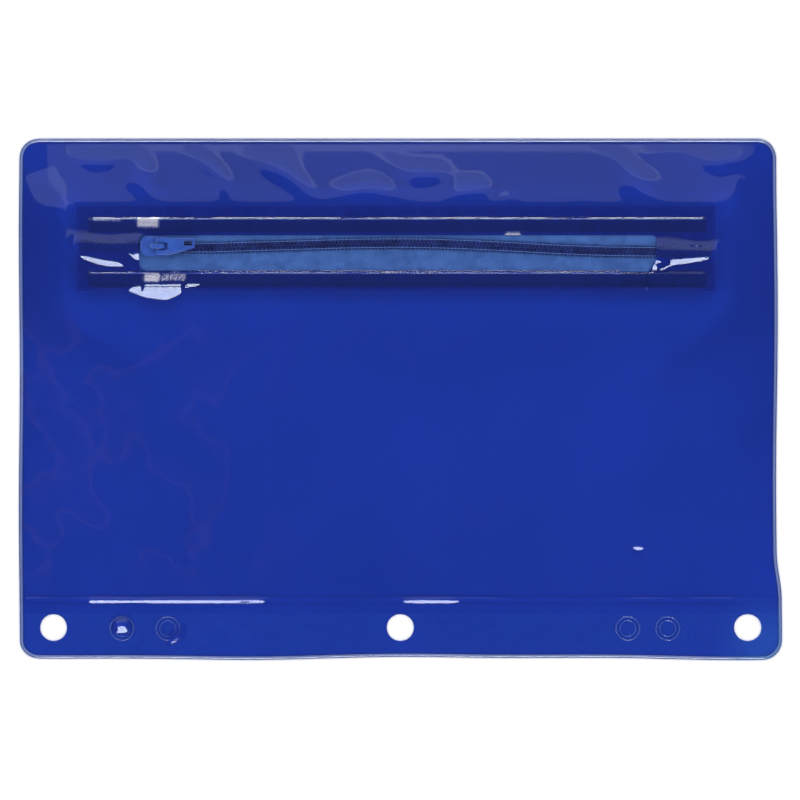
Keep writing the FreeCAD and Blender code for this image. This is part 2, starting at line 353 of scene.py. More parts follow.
def vinyl_material(name, body, body_light, tint, share, pressed=False):
    """Clear blue film: part dyed body, part tinted see-through, under a hard gloss.
    A closed sheet has two faces, so each face has half of its tint."""
    material, tree, shader = new_material(name)
    spots = place(tree)
    cloud = noise(tree, spots, 22.0, 3.0)
    colour = ramp(tree, cloud, [(0.35, body), (0.68, body_light)])
    # Painted reflection: faint purple lines mixed into the film's colour.
    base = mix(tree, painted_reflection_lines(tree, spots), colour, PAINTED_REFLECTION_PURPLE)
    base = mix(tree, pale_corner(tree, spots), base, CORNER_PALE)
    if pressed:
        # Painted highlight: whitish patches and specks on the front film, also made more opaque there.
        painted_glint_mask = painted_glint_marks(tree, spots)
        base = mix(tree, painted_glint_mask, base, PAINTED_GLINT_WHITE)
        share_here = math_node(tree, "MULTIPLY_ADD", painted_glint_mask, 0.8, share)
    tree.links.new(base, shader.inputs["Base Color"])
    shader.inputs["IOR"].default_value = 1.53
    shader.inputs["Specular IOR Level"].default_value = 1.0
    shader.inputs["Coat Weight"].default_value = 1.0
    shader.inputs["Coat Roughness"].default_value = 0.02
    shader.inputs["Coat IOR"].default_value = 1.8
    haze = ramp(tree, noise(tree, spots, 60.0, 4.0), [(0.3, grey(0.02)), (0.75, grey(0.06))])
    tree.links.new(haze, shader.inputs["Roughness"])
    relief = noise(tree, spots, 900.0, 2.0)
    if pressed:
        relief = bar_ribs(tree, spots, relief)
    bumps(tree, shader, relief, 0.000004, 0.4)
    clear = node(tree, "ShaderNodeBsdfTransparent", {"Color": (*tint, 1)})
    fresnel = node(tree, "ShaderNodeFresnel", {"IOR": 1.5})
    limits = {"Value": fresnel.outputs["Fac"], "From Min": 0.04, "From Max": 1.0, "To Max": 1.0}
    limits["To Min"] = share_here if pressed else share
    body_share = node(tree, "ShaderNodeMapRange", limits).outputs["Result"]
    inputs = {0: body_share, 1: clear.outputs["BSDF"], 2: shader.outputs["BSDF"]}
    mixed = node(tree, "ShaderNodeMixShader", inputs)
    tree.links.new(mixed.outputs["Shader"], tree.nodes["Material Output"].inputs["Surface"])
    return material


def patch(tree, vector, low, high, fade):
    """1 inside an upright rectangle given in millimetres, 0 outside it, with soft sides."""
    sides = []
    for axis, start, stop in (("X", low[0], high[0]), ("Y", low[1], high[1])):
        stops = [(start - fade, 0), (start + fade, 1), (stop - fade, 1), (stop + fade, 0)]
        sides.append(across(tree, vector, axis, [(place_mm * MM, value) for place_mm, value in stops]))
    return math_node(tree, "MULTIPLY", sides[0], sides[1])


def pale_corner(tree, vector):
    """The film is paler round the last binder hole."""
    near = patch(tree, vector, (104.0, -90.0), (130.0, -67.0), 6.0)
    return math_node(tree, "MULTIPLY", near, 0.55)


def painted_glint_marks(tree, vector):
    """Painted highlight: whitish marks that stand in for glints off the film, solid in some places, specks in
    others.
    """
    total = 0.0
    specks = noise(tree, vector, 2300.0, 2.0, 0.6)
    for low, high, sparse in PAINTED_GLINT_PATCHES:
        area = patch(tree, vector, low, high, 0.7)
        softened_edge = math_node(tree, "MULTIPLY_ADD", area, 0.34, specks)
        solid = ramp(tree, softened_edge, [(sparse + 0.30, grey(0)), (sparse + 0.42, grey(1))])
        here = math_node(tree, "MULTIPLY", area, solid)
        total = math_node(tree, "MAXIMUM", here, total)
    return total


def painted_reflection_lines(tree, vector):
    """Painted reflection: faint purple lines that stand in for the film's soft reflections, mostly on the
    left of the panel.
    """
    shapes = noise(tree, vector, 33.0, 2.5, 0.55)
    lines = ramp(tree, shapes, [(0.50, grey(0)), (0.52, grey(0.34)), (0.535, grey(0.12)), (0.60, grey(0))])
    side = across(tree, vector, "X", [(-0.118, 1), (-0.055, 0.8), (-0.030, 0.1), (0.118, 0.0)])
    panel_rows = across(tree, vector, "Y", [(-0.062, 0), (-0.050, 1), (0.020, 1), (0.032, 0)])
    inside = math_node(tree, "MULTIPLY", side, panel_rows)
    return math_node(tree, "MULTIPLY", lines, inside)


def across(tree, vector, axis, stops):
    """A grey pattern that changes only along one axis. Each stop is (place in metres, grey)."""
    parts = node(tree, "ShaderNodeSeparateXYZ", {"Vector": vector})
    low, high = stops[0][0], stops[-1][0]
    limits = {"Value": parts.outputs[axis], "From Min": low, "From Max": high}
    along = node(tree, "ShaderNodeMapRange", limits).outputs["Result"]
    return ramp(tree, along, [((where - low) / (high - low), grey(value)) for where, value in stops])


def on_bars(tree, vector):
    """1 on the two pressed bars beside the slot, 0 elsewhere."""
    (low_foot, low_head), (high_foot, high_head) = BAR_SPANS
    fade = 0.5 * MM
    stops = [(low_foot - fade, 0), (low_foot + fade, 1), (low_head - fade, 1), (low_head + fade, 0)]
    stops += [(high_foot - fade, 0), (high_foot + fade, 1), (high_head - fade, 1), (high_head + fade, 0)]
    rows = across(tree, vector, "Y", stops)
    ends = [(BAR_LEFT - fade, 0), (BAR_LEFT + fade, 1), (BAR_RIGHT - fade, 1), (BAR_RIGHT + fade, 0)]
    columns = across(tree, vector, "X", ends)
    return math_node(tree, "MULTIPLY", rows, columns)


def bar_ribs(tree, vector, relief):
    """The welding tool's ribs across the bars, added to the film's own grain."""
    inputs = {"Vector": vector, "Scale": 95.0, "Distortion": 1.2, "Detail": 2.0, "Detail Scale": 3.0}
    wave = node(tree, "ShaderNodeTexWave", inputs, bands_direction="X").outputs["Fac"]
    masked = math_node(tree, "MULTIPLY", wave, on_bars(tree, vector))
    return math_node(tree, "MULTIPLY_ADD", masked, 12.0, relief)


def woven_material(name, dark, light, sheen=0.25):
    """Fine twill tape: two sets of yarns crossing on the slant."""
    material, tree, shader = new_material(name)
    heights = []
    for turn in (0.62, -0.62):
        vector = place(tree, (1, 1, 1), (0, 0, turn))
        inputs = {"Vector": vector, "Scale": 640.0, "Distortion": 1.6, "Detail": 1.0, "Detail Scale": 2.0}
        heights.append(node(tree, "ShaderNodeTexWave", inputs, bands_direction="X").outputs["Fac"])
    weave = math_node(tree, "MULTIPLY", heights[0], heights[1])
    mottle = noise(tree, place(tree), 380.0, 3.0)
    mixed = math_node(tree, "ADD", weave, mottle)
    colour = ramp(tree, mixed, [(0.35, dark), (1.0, light)])
    tree.links.new(colour, shader.inputs["Base Color"])
    shader.inputs["Roughness"].default_value = 0.85
    shader.inputs["Specular IOR Level"].default_value = 0.15
    shader.inputs["Sheen Weight"].default_value = sheen
    shader.inputs["Sheen Roughness"].default_value = 0.4
    bumps(tree, shader, mixed, 0.00012, 0.8)
    return material


def nylon_material(name, dark, light, roughness):
    material, tree, shader = new_material(name)
    tone = noise(tree, place(tree), 260.0, 2.0)
    tree.links.new(ramp(tree, tone, [(0.3, dark), (0.7, light)]), shader.inputs["Base Color"])
    shader.inputs["Roughness"].default_value = roughness
    shader.inputs["Specular IOR Level"].default_value = 0.18
    bumps(tree, shader, noise(tree, place(tree), 1500.0, 2.0), 0.000006, 0.5)
    return material


def thread_material(name, dark, light):
    material, tree, shader = new_material(name)
    vector = place(tree, (1, 1, 1), (0, 0, 0.8))
    inputs = {"Vector": vector, "Scale": 1500.0}
    twist = node(tree, "ShaderNodeTexWave", inputs, bands_direction="X").outputs["Fac"]
    tree.links.new(ramp(tree, twist, [(0.2, dark), (0.8, light)]), shader.inputs["Base Color"])
    shader.inputs["Roughness"].default_value = 0.8
    shader.inputs["Specular IOR Level"].default_value = 0.1
    bumps(tree, shader, twist, 0.00004, 0.8)
    return material


def enamel_material(name, dark, light):
    """Baked enamel on a small casting: a soft orange-peel."""
    material, tree, shader = new_material(name)
    spots = place(tree)
    tone = noise(tree, spots, 420.0, 4.0)
    tree.links.new(ramp(tree, tone, [(0.3, dark), (0.7, light)]), shader.inputs["Base Color"])
    haze = ramp(tree, noise(tree, spots, 900.0, 3.0), [(0.3, grey(0.26)), (0.7, grey(0.42))])
    tree.links.new(haze, shader.inputs["Roughness"])
    shader.inputs["Specular IOR Level"].default_value = 0.35
    shader.inputs["Coat Weight"].default_value = 0.25
    shader.inputs["Coat Roughness"].default_value = 0.15
    bumps(tree, shader, noise(tree, spots, 1100.0, 3.0), 0.00003, 0.6)
    return material


def hem_material(name, dark, light, bar_dark, bar_light, fringe):
    """Tape seen through the film that is welded to it: wetted dark, darker still under the bars,
    and paler in the thin outermost rows."""
    material, tree, shader = new_material(name)
    spots = place(tree)
    weave = noise(tree, place(tree, (1, 0.5, 1)), 240.0, 4.0, 0.6)
    plain = ramp(tree, weave, [(0.3, dark), (0.7, light)])
    pressed = ramp(tree, weave, [(0.3, bar_dark), (0.7, bar_light)])
    mixed = mix(tree, on_bars(tree, spots), plain, pressed)
    low = (UPPER_HEM_LOW.x / MM, LOWER_HEM_LOW.y / MM)
    high = (UPPER_HEM_HIGH.x / MM, UPPER_HEM_HIGH.y / MM)
    faded = mix(tree, patch(tree, spots, low, high, 1.5), fringe, mixed)
    tree.links.new(faded, shader.inputs["Base Color"])
    shader.inputs["Roughness"].default_value = 0.8
    shader.inputs["Specular IOR Level"].default_value = 0.1
    bumps(tree, shader, weave, 0.00006, 0.5)
    return material


# Painted highlights on the front film: low and high corner in millimetres, and how sparse the marks are.
PAINTED_GLINT_PATCHES = [
    ((-81.8, 53.0), (-74.6, 56.4), 0.37),
    ((-79.6, 36.0), (-74.2, 39.3), 0.38),
    ((-74.4, 36.2), (-66.0, 39.2), 0.5),
    ((-95.5, 54.6), (-86.0, 56.4), 0.52),
    ((32.3, 50.4), (37.5, 51.7), 0.3),
]
BAR_SPANS = [(34.5 * MM, 39.5 * MM), (51.7 * MM, 56.3 * MM)]
BAR_LEFT = -96.6 * MM
BAR_RIGHT = 94.6 * MM
FILM_TINT = (0.60, 0.765, 1.0)
FRONT_VINYL = vinyl_material("vinyl_front", (0.036, 0.066, 0.43), (0.044, 0.078, 0.50), FILM_TINT, 0.16, True)
BACK_VINYL = vinyl_material("vinyl_back", (0.036, 0.066, 0.43), (0.044, 0.078, 0.50), FILM_TINT, 0.16)
# The rim's pale colour is painted reflection, standing in for the light that the weld bead's edge catches.
PAINTED_REFLECTION_RIM = vinyl_material("painted_reflection_rim_vinyl", (0.20, 0.27, 0.56), (0.26, 0.34, 0.66), (0.75, 0.85, 1.0), 0.6)
RING_VINYL = vinyl_material("vinyl_ring", (0.09, 0.19, 0.66), (0.13, 0.26, 0.75), (0.92, 0.96, 1.0), 0.3)
TAPE = woven_material("zip_tape", (0.018, 0.050, 0.185), (0.056, 0.138, 0.42), 0.06)
HEM_TAPE = hem_material("zip_tape_under_vinyl", (0.011, 0.022, 0.19), (0.018, 0.036, 0.26),
                        (0.001, 0.002, 0.020), (0.006, 0.008, 0.065), (0.024, 0.060, 0.36))
NYLON = nylon_material("zip_coil", (0.005, 0.011, 0.08), (0.016, 0.034, 0.20), 0.42)
CORD = nylon_material("zip_cord", (0.006, 0.010, 0.075), (0.014, 0.022, 0.13), 0.7)
THREAD = thread_material("zip_thread", (0.045, 0.105, 0.36), (0.14, 0.26, 0.62))
ENAMEL = enamel_material("slider_enamel", (0.015, 0.055, 0.30), (0.026, 0.084, 0.39))


def paint(piece, material):
    piece.data.materials.clear()
    piece.data.materials.append(material)


# ---------------------------------------------------------------- camera, floor and lights
VIEW_WIDTH = 249.0 * MM                 # what the picture takes in at the table
LENS = 200.0
SENSOR = 36.0


def make_camera():
    deselect()
    bpy.ops.object.camera_add(location=(-0.1 * MM, -0.3 * MM, VIEW_WIDTH * LENS / SENSOR), rotation=(0, 0, 0))
    camera = bpy.context.object
    camera.name = "camera"
    camera.data.lens = LENS
    camera.data.sensor_width = SENSOR
    camera.data.clip_start = 0.05
    camera.data.clip_end = 20
    bpy.context.scene.camera = camera


def make_floor():
    deselect()
    bpy.ops.mesh.primitive_plane_add(size=4, location=(0, 0, -0.02 * MM))
    floor = bpy.context.object
    material, tree, shader = new_material("table_white")
    tone = ramp(tree, noise(tree, place(tree), 3.0, 2.0), [(0.3, grey(0.90)), (0.7, grey(0.93))])
    tree.links.new(tone, shader.inputs["Base Color"])
    shader.inputs["Roughness"].default_value = 0.9
    shader.inputs["Specular IOR Level"].default_value = 0.1
    settle(floor, "floor")
    paint(floor, material)


def panel(name, direction, zenith, distance, size, radiance, gloss_only=True):
    """A soft box that faces the middle of the table. direction is its bearing from +X, in degrees.
    The fill boxes light the table without showing in the film's gloss. The others show only there."""
    bearing = math.radians(direction)
    tilt = math.radians(zenith)
    aim = Vector((math.sin(tilt) * math.cos(bearing), math.sin(tilt) * math.sin(bearing), math.cos(tilt)))
    deselect()
    bpy.ops.object.light_add(type="AREA", location=aim * distance)
    lamp = bpy.context.object
    lamp.name = name
    lamp.rotation_euler = aim.to_track_quat("Z", "Y").to_euler()
    lamp.data.shape = "RECTANGLE"
    lamp.data.size = size[0]
    lamp.data.size_y = size[1]
    lamp.data.energy = radiance * math.pi * size[0] * size[1]
    lamp.visible_glossy = gloss_only
    lamp.visible_diffuse = not gloss_only


def make_lights():
    world = bpy.data.worlds.new("studio")
    bpy.context.scene.world = world
    world.use_nodes = True
    world.node_tree.nodes["Background"].inputs["Color"].default_value = (0.80, 0.88, 1.0, 1)
    world.node_tree.nodes["Background"].inputs["Strength"].default_value = 0.09
    for name, direction in (("fill_right", 0), ("fill_top", 90), ("fill_left", 180), ("fill_bottom", 270)):
        panel(name, direction, 42, 1.5, (1.2, 1.2), 2.35, gloss_only=False)
    panel("top_glow", 90, 57, 1.5, (2.2, 0.68), 1.05)
    panel("top_haze", 90, 37, 1.5, (2.2, 0.50), 0.62)
    panel("left_glow", 150, 46, 1.5, (0.7, 0.45), 0.8)
    panel("top_strip", 90, 76, 1.5, (1.9, 0.22), 13.0)
    panel("bottom_strip", 270, 47, 1.5, (0.75, 0.48), 15.0)
    panel("right_wall", 0, 82, 1.6, (1.6, 0.3), 1.6)
    panel("left_wall", 180, 82, 1.6, (1.6, 0.3), 4.5)
    panel("bottom_wall", 270, 82, 1.6, (1.6, 0.3), 2.5)


make_camera()
make_floor()
make_lights()
bpy.context.scene.view_settings.view_transform = "Standard"
bpy.context.scene.cycles.transparent_max_bounces = 32
bpy.context.scene.cycles.max_bounces = 6
bpy.context.scene.cycles.caustics_reflective = False
bpy.context.scene.cycles.caustics_refractive = False

# ---------------------------------------------------------------- the two vinyl sheets
BAR_RISE = 0.585 * MM
BAR_SHOULDER = 0.75 * MM                # width of a bar's steep side
BAR_FOOT = 3.0 * MM                     # and of its soft side
BAR_END = 0.8 * MM
# Where the lower bar's shoulder is gentle enough to shine: (middle, reach) in millimetres.
LOWER_BAR_DASHES = [(-88, 6), (-72, 9), (-4.7, 4), (9.9, 3), (50.5, 8), (88, 6)]
FILM_GAP = 0.05 * MM                    # air between the tapes and the film over them
RIDGE = 1.6 * MM                        # how high the film stands over the chain's covered ends
SLOT_CORNERS = {"left_foot": 3.0 * MM, "right_foot": 4.5 * MM, "right_head": 1.5 * MM, "left_head": 1.5 * MM}
# Waves in the film above the zipper, in millimetres and degrees:
# (x, y, half length, half width, turn, height). Each is one soft ridge, highest in its middle.
WAVES = [
    (-95, 75, 15, 4.5, -6, 0.7), (-81, 69, 15, 6, -56, 0.85), (-59, 70, 14, 4.5, -52, 0.72),
    (-36, 70, 18, 6, -44, 0.95), (-10, 63.4, 19, 6.5, 0, 1.05), (5, 70.5, 15, 5, -14, 0.72),
    (21, 64.2, 9, 6.5, 20, 1.05), (30, 60.8, 7, 4, 12, 0.55), (56, 61.3, 4, 3, 0, 0.38),
    (71, 69.5, 17, 6.5, -44, 1.0), (103, 75, 18, 6, 0, 0.95), (86, 77, 12, 4, -6, 0.55),
    (101, 62, 14, 4, 58, 0.5), (-102, 57.5, 8, 3.8, -40, 0.5), (112, 51, 6, 4, 70, 0.45),
]
# Pinched places where the film drops in a flat facet towards the foot, in millimetres:
# its slope, how much of its fall is first raised as a crest, and the (x, head, foot) points of its outline.
PINCHES = {
    "under_left_bar": (0.44, 0.55, [
        (-86.0, 34.2, 34.2), (-83.2, 34.9, 32.7), (-79.3, 35.5, 31.2), (-72.4, 35.6, 30.5),
        (-69.5, 35.6, 31.7), (-67.6, 35.5, 32.4), (-66.9, 35.5, 34.2), (-62.3, 35.4, 35.2),
    ]),
    "left_flank": (0.2, 0.55, [
        (-100.5, 44.9, 44.9), (-96.0, 44.0, 42.6), (-91.0, 43.0, 40.9), (-87.0, 42.4, 40.6),
        (-84.0, 41.0, 41.0),
    ]),
    "left_corner": (0.2, 0.55, [
        (-87.0, 45.9, 45.9), (-84.0, 45.6, 45.0), (-82.0, 45.4, 43.4), (-79.0, 44.6, 42.6),
    ]),
    "right_flank": (0.2, 0.55, [
        (79.0, 43.0, 40.2), (81.5, 43.2, 40.4), (84.0, 43.4, 41.5), (88.0, 43.9, 42.0),
        (95.4, 44.9, 43.1), (98.0, 44.3, 44.2),
    ]),
    "right_corner": (0.44, 0.55, [
        (68.0, 42.8, 39.6), (74.0, 42.8, 39.6), (77.6, 42.9, 39.8),
    ]),
    "right_turn": (0.2, 0.55, [
        (75.8, 42.8, 40.0), (78.0, 42.9, 39.8), (80.4, 42.6, 39.9), (83.0, 41.6, 41.2),
    ]),
    "right_crest": (0.31, 0.55, [
        (80.0, 44.9, 44.6), (84.0, 45.6, 44.3), (89.0, 45.9, 44.6), (94.5, 45.8, 45.7),
    ]),
    "panel_nick": (0.36, 0.7, [
        (71.6, -46.0, -46.0), (73.0, -45.4, -47.0), (75.0, -45.9, -46.9), (77.0, -46.3, -46.3),
    ]),
    "ring_glint": (0.44, 1.0, [
        (-89.4, -70.6, -72.6), (-88.2, -70.4, -72.9), (-85.0, -70.2, -72.7), (-84.0, -70.6, -72.2),
    ]),
    "ring_arc": (0.44, 1.0, [
        (-72.4, -76.0, -77.0), (-70.8, -75.0, -76.2), (-68.2, -73.4, -74.6), (-66.8, -72.6, -73.2),
    ]),
}
CALM = 14.0 * MM                        # the length over which the film recovers below a pinch
CREST_REACH = 3.0 * MM                  # and the length over which it rises to the crest above one
PINCH_END = 1.0 * MM


WAVES_FOOT = 58.5 * MM                  # the zone above the zipper that the waves are in
WAVES_HEAD = 81.5 * MM
WAVES_FADE = 4 * MM
WAVES_SIDE = 100 * MM                   # beyond this the waves may also run beside the zipper
PANEL_HEAD = 30 * MM                    # the plain panel below the zipper, with its own slow waves
PANEL_FOOT = -56 * MM
PANEL_FADE = 20 * MM
SLOW_WAVE = 0.25 * MM


def edge_sway(x, y):
    """How far the cut edges wander from a true rectangle. Only points near an edge move."""
    near_right = bump(HALF_WIDTH - x, 26 * MM)
    near_foot = bump(y + HALF_HEIGHT, 5 * MM)
    dx = -1.35 * MM * near_right * smooth((y + 62 * MM) / (14 * MM))
    dx = dx + 0.25 * MM * near_right * np.sin(y * 60)
    wave = 0.45 * np.sin(x * 38 + 0.8) + 0.25 * np.sin(x * 85 + 2.0)
    dy = MM * near_foot * (0.35 + wave * 0.8)
    dx = dx + 0.15 * MM * bump(x + HALF_WIDTH, 20 * MM) * np.sin(y * 75 + 1)
    return dx, dy


def sheet_outline(x, y):
    far = rounded_box(x, y, (-HALF_WIDTH, -HALF_HEIGHT), (HALF_WIDTH, HALF_HEIGHT), CORNER)
    for hole in HOLES:
        far = np.maximum(far, HOLE_RADIUS - np.hypot(x - hole.x, y - hole.y))
    return far


def slot_outline(x, y):
    """Below 0 inside the slot, whose four corners are rounded by different amounts."""
    right = x > CHAIN_MIDDLE
    head = y > (SLOT_BOTTOM + SLOT_TOP) / 2
    at_foot = np.where(right, SLOT_CORNERS["right_foot"], SLOT_CORNERS["left_foot"])
    at_head = np.where(right, SLOT_CORNERS["right_head"], SLOT_CORNERS["left_head"])
    radius = np.where(head, at_head, at_foot)
    return rounded_box(x, y, (SLOT_LEFT, SLOT_BOTTOM), (SLOT_RIGHT, SLOT_TOP), radius)


def front_outline(x, y):
    return np.maximum(sheet_outline(x, y), -slot_outline(x, y))


def ripples(x, y):
    """Soft waves left in the film, strongest above the zipper."""
    over_zipper = smooth((y - WAVES_FOOT) / WAVES_FADE) * smooth((WAVES_HEAD - y) / WAVES_FADE)
    sideways = smooth((np.abs(x) - WAVES_SIDE) / (3 * MM))
    waves = np.zeros_like(x)
    warp_x = x + 1.4 * MM * np.sin(y * 420 + x * 90)
    warp_y = y + 1.1 * MM * np.sin(x * 260 + 1.0)
    for middle_x, middle_y, length, width, turn, height in WAVES:
        angle = math.radians(turn)
        along = (warp_x - middle_x * MM) * math.cos(angle) + (warp_y - middle_y * MM) * math.sin(angle)
        aside = (warp_y - middle_y * MM) * math.cos(angle) - (warp_x - middle_x * MM) * math.sin(angle)
        waves = waves + height * MM * bump(along, length * MM) * bump(aside, width * MM)
    body = smooth((PANEL_HEAD - y) / PANEL_FADE) * smooth((y - PANEL_FOOT) / PANEL_FADE)
    slow = np.sin(x * 37 + y * 21 + 0.4) * np.sin(y * 43 - x * 17 + 1.1)
    return waves * np.maximum(over_zipper, sideways) + SLOW_WAVE * body * slow


def pinch(x, y, slope, share, points):
    """The film's change of height at one pinched place: up to a crest, down a flat facet, and level again."""
    places, heads, feet = (np.array(column) * MM for column in zip(*points))
    head = np.interp(x, places, heads)
    foot = np.interp(x, places, feet)
    inside = smooth((x - places[0]) / PINCH_END) * smooth((places[-1] - x) / PINCH_END)
    fall = slope * (head - foot)
    crest = share * fall * smooth(1 - (y - head) / CREST_REACH)
    drop = slope * np.clip(head - y, 0, head - foot)
    return (crest - drop) * inside * smooth((y - foot + CALM) / CALM)


def bar_profile(y, low, high):
    """A pressed bar: a steep shoulder towards the top edge, a soft one towards the foot."""
    return smooth((y - low) / BAR_FOOT) * np.clip((high - y) / BAR_SHOULDER, 0, 1)


SIDE_RUN = 46 * MM                      # how far in from each edge the film reaches its full height
LEFT_STEEPER = 29.8 * MM                # and how much sooner beside the tapes, which hold it up
RIGHT_STEEPER = 27.0 * MM
TOP_RUN = 19.4 * MM
FOOT_RUN = 60 * MM
TAPE_ZONE = 2 * MM
TAPE_ZONE_FADE = 30 * MM
SAG = 1.3 * MM                          # the panel's sag below the zipper
SAG_HEAD = 33 * MM
SAG_SIDE = 112 * MM
SAG_FADE = 30 * MM
END_FADE = 3 * MM


def ease(t, roundness):
    """A nearly straight rise from 0 to 1 that rounds over at its top."""
    t = np.clip(t, 0, 1)
    return (1 - roundness) * t + roundness * np.sin(np.pi / 2 * t)


def raised(x, y):
    """Height of the front sheet's underside above the back sheet."""
    beside_tape = smooth((y - TAPE_ZONE) / TAPE_ZONE_FADE)
    left = ease((x + HALF_WIDTH - EDGE_WELD) / (SIDE_RUN - LEFT_STEEPER * beside_tape), 0.5)
    right = ease((HALF_WIDTH - EDGE_WELD - x) / (SIDE_RUN - RIGHT_STEEPER * beside_tape), 0.5)
    top = ease((HALF_HEIGHT - EDGE_WELD - y) / TOP_RUN, 0.25)
    foot = ease((y - SEAM_Y) / FOOT_RUN, 0.8)
    pillow = left * right * top * foot
    sag = smooth((SAG_HEAD - y) / (22 * MM))
    sag = sag * smooth((x + SAG_SIDE) / SAG_FADE) * smooth((SAG_SIDE - x) / SAG_FADE)
    height = (LIFT + FILM_GAP) * pillow - SAG * sag * foot + ripples(x, y) * np.minimum(pillow * 4, 1)
    ends = smooth((x - BAR_LEFT) / BAR_END) * smooth((BAR_RIGHT - x) / BAR_END)
    wander = 0.075 * np.sin(x * 190 + 1) * np.sin(x * 84) + 0.035 * np.sin(x * 700) + 0.03 * np.sin(x * 1570)
    shining = np.zeros_like(x)
    for middle, reach in LOWER_BAR_DASHES:
        shining = np.maximum(shining, bump(x - middle * MM, reach * MM) ** 0.3)
    steeper = (0.17 * (1 - shining), 0.0)
    for extra, (low, high) in zip(steeper, BAR_SPANS):
        rise = BAR_RISE * (1 + wander + extra)
        height = height + rise * ends * bar_profile(y, low, high)
    past_left = smooth((SLOT_LEFT + END_FADE - x) / END_FADE)
    past_left = past_left * smooth((x - LEFT_END_LOW.x + END_FADE) / END_FADE)
    past_right = smooth((x - SLOT_RIGHT + END_FADE) / END_FADE)
    past_right = past_right * smooth((RIGHT_END_HIGH.x + END_FADE - x) / END_FADE)
    aside = y - chain_y(x)
    upper_reach = MM * (4.7 + 0.9 * np.sin(x * 310 + 1.2))
    over = RIDGE * (past_left + past_right) * bump(aside, np.where(aside > 0, upper_reach, 8.0 * MM))
    for slope, share, points in PINCHES.values():
        height = height + pinch(x, y, slope, share, points)
    return np.maximum(height + over, 0)


# The seam bead's tall stretches in millimetres: start, stop, and how soon each end rises and falls.
TALL_SEAM = [(-98, -42, 4, 5), (0, 20, 6, 6)]


def weld_marks(x, y):
    """Small relief on the margin: the seam's bead, tall along two stretches, and the groove below it."""
    tall = 0.0
    for start, stop, rise, fall in TALL_SEAM:
        tall = tall + smooth((x - start * MM) / (rise * MM)) * smooth((stop * MM - x) / (fall * MM))
    height = MM * (0.27 + 0.05 * np.sin(x * 95) + 0.05 * np.sin(x * 260 + 1) + 0.24 * tall)
    above = np.clip((SEAM_Y + 0.5 * MM - y) / (0.8 * MM), 0, 1)
    below = np.clip((y - SEAM_Y + 1.5 * MM) / (1.2 * MM), 0, 1)
    bead = height * np.minimum(above, below)
    groove = -0.10 * MM * bump(y - SEAM_Y + 2.6 * MM, 0.9 * MM)
    inside = smooth((HALF_WIDTH - np.abs(x)) / (3 * MM))
    return (bead + groove) * inside


def make_front_sheet():
    edge = 3.5 * MM
    columns = [(-HALF_WIDTH, -HALF_WIDTH + edge, 0.5 * MM), (HALF_WIDTH - edge, HALF_WIDTH, 0.5 * MM)]
    columns += [(-101 * MM, -66 * MM, 0.75 * MM), (72 * MM, 98 * MM, 0.75 * MM)]
    xs = graded(-HALF_WIDTH, HALF_WIDTH, columns, 1.4 * MM)
    rows = [(-77 * MM, -67 * MM, 0.45 * MM), (-63.8 * MM, -61.2 * MM, 0.2 * MM)]
    rows += [(79 * MM, HALF_HEIGHT, 0.4 * MM), (-47.2 * MM, -45.2 * MM, 0.4 * MM)]
    rows += [(30 * MM, 36.4 * MM, 0.5 * MM)]
    rows += [(high - BAR_SHOULDER - 0.3 * MM, high + 0.3 * MM, 0.13 * MM) for low, high in BAR_SPANS]
    rows += [(40 * MM, 51 * MM, 0.45 * MM)]
    ys = graded(-HALF_HEIGHT, HALF_HEIGHT, rows, 1.3 * MM)
    sheet = cut_to(grid_piece(xs, ys), front_outline)
    co = points_of(sheet)
    x, y = co[:, 0].copy(), co[:, 1].copy()
    co[:, 2] = BACK_HIGH.z + raised(x, y) + weld_marks(x, y)
    dx, dy = edge_sway(x, y)
    co[:, 0] += dx
    co[:, 1] += dy
    set_points(sheet, co)
    modify(sheet, "SOLIDIFY", thickness=VINYL, offset=1.0, use_even_offset=False)
    settle(sheet, "front_sheet_film")
    smooth_shade(sheet, 50)
    paint(sheet, FRONT_VINYL)
    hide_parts("front_sheet")
    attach(sheet, "pouch")
    return sheet


def make_back_sheet():
    xs = graded(-HALF_WIDTH, HALF_WIDTH, [], 1.4 * MM)
    ys = graded(-HALF_HEIGHT, HALF_HEIGHT, [(-76 * MM, -66 * MM, 0.8 * MM)], 1.4 * MM)
    sheet = cut_to(grid_piece(xs, ys), sheet_outline)
    co = points_of(sheet)
    dx, dy = edge_sway(co[:, 0], co[:, 1])
    co[:, 0] += dx
    co[:, 1] += dy
    set_points(sheet, co)
    modify(sheet, "SOLIDIFY", thickness=VINYL, offset=1.0, use_even_offset=False)
    settle(sheet, "back_sheet_film")
    smooth_shade(sheet, 50)
    paint(sheet, BACK_VINYL)
    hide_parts("back_sheet")
    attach(sheet, "pouch")
    return sheet


front_film = make_front_sheet()
back_film = make_back_sheet()


RIM_INSET = 0.62 * MM
RIM_RADIUS = 0.56 * MM


def rim_path(inset, steps=14):
    """Points round the bag's outline, inset from it, with the same wandering as the sheets' edges."""
    points = []
    radius = CORNER - inset
    for sign_x, sign_y, first in ((1, 1, 0), (-1, 1, 90), (-1, -1, 180), (1, -1, 270)):
        middle = ((HALF_WIDTH - CORNER) * sign_x, (HALF_HEIGHT - CORNER) * sign_y)
        for step in range(steps + 1):
            angle = math.radians(first + 90 * step / steps)
            points.append((middle[0] + radius * math.cos(angle), middle[1] + radius * math.sin(angle)))
    full = []
    for here, there in zip(points, points[1:] + points[:1]):
        count = max(1, int(math.dist(here, there) / (2.0 * MM)))
        for part in range(count):
            full.append([here[i] + (there[i] - here[i]) * part / count for i in range(2)])
    line = np.array(full)
    dx, dy = edge_sway(line[:, 0], line[:, 1])
    return line + np.stack([dx, dy], axis=1)


